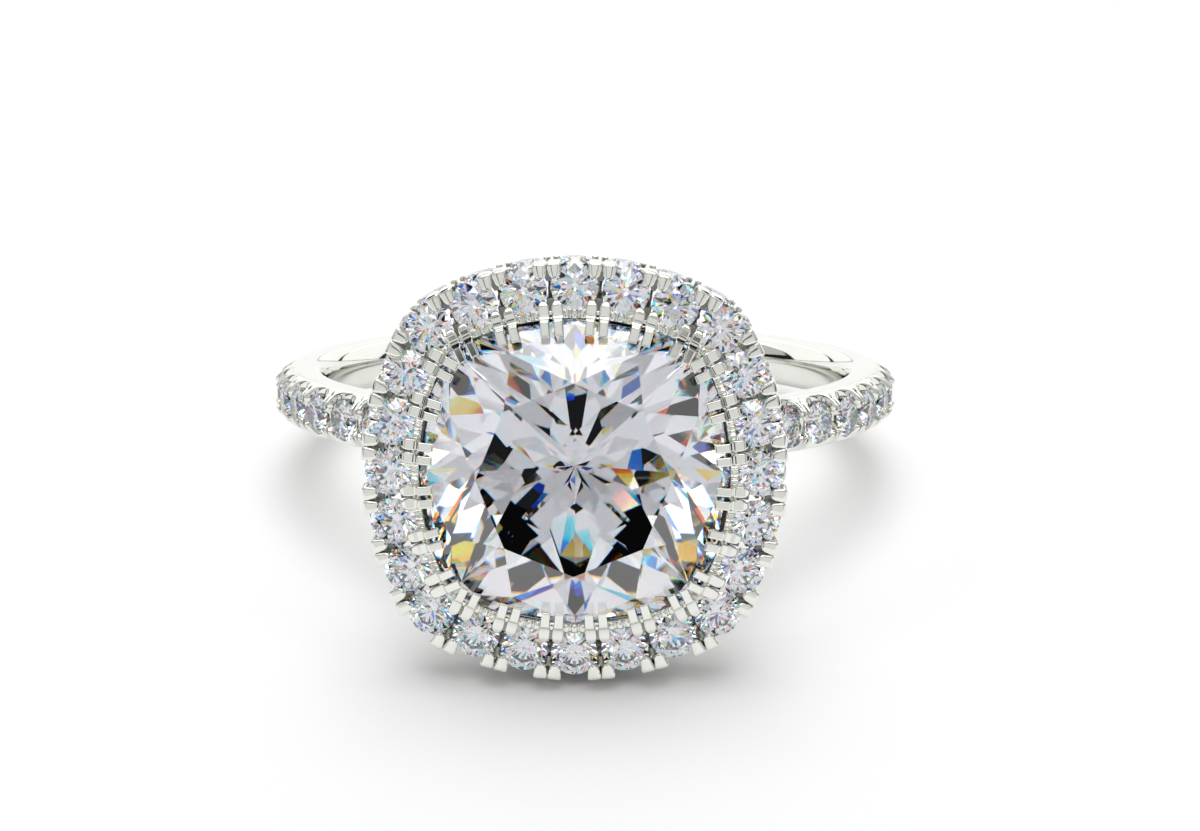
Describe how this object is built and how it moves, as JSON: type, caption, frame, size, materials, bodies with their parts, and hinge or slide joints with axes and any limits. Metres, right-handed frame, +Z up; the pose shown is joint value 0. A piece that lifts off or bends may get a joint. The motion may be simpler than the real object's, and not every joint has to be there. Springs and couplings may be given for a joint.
{
  "type": "halo ring",
  "caption": "Engagement ring with a cushion-cut centre stone in a halo of small round stones, an open gallery and a thin band with stones down both shoulders, lying on its side.",
  "frame": {"origin": "the middle of the ring's outline seen from above, on the surface that it lies on", "axes": "+Z up from the surface, -Y the way the head and its centre stone face, +X to the right of someone who looks at the head"},
  "size_m": [0.0206, 0.0264, 0.0116],
  "materials": {
    "white_gold": "polished",
    "diamond": "polished facets"
  },
  "bodies": {
    "root": {"ring_setting": "white_gold", "centre_stone": "diamond", "halo_side_stones": "diamond", "band_stones_left": "diamond", "band_stones_right": "diamond", "halo_stone_01": "diamond", "halo_stone_02": "diamond", "halo_stone_03": "diamond", "halo_stone_04": "diamond", "halo_stone_05": "diamond", "halo_stone_06": "diamond", "halo_stone_07": "diamond", "halo_stone_08": "diamond", "halo_stone_09": "diamond", "halo_stone_10": "diamond", "halo_stone_11": "diamond", "halo_stone_12": "diamond", "halo_stone_13": "diamond", "halo_stone_14": "diamond", "halo_stone_15": "diamond", "halo_stone_16": "diamond", "halo_stone_17": "diamond", "halo_stone_18": "diamond", "halo_stone_19": "diamond", "halo_stone_20": "diamond", "halo_stone_21": "diamond", "halo_stone_22": "diamond", "halo_stone_23": "diamond", "halo_stone_24": "diamond"}
  },
  "joints": []
}
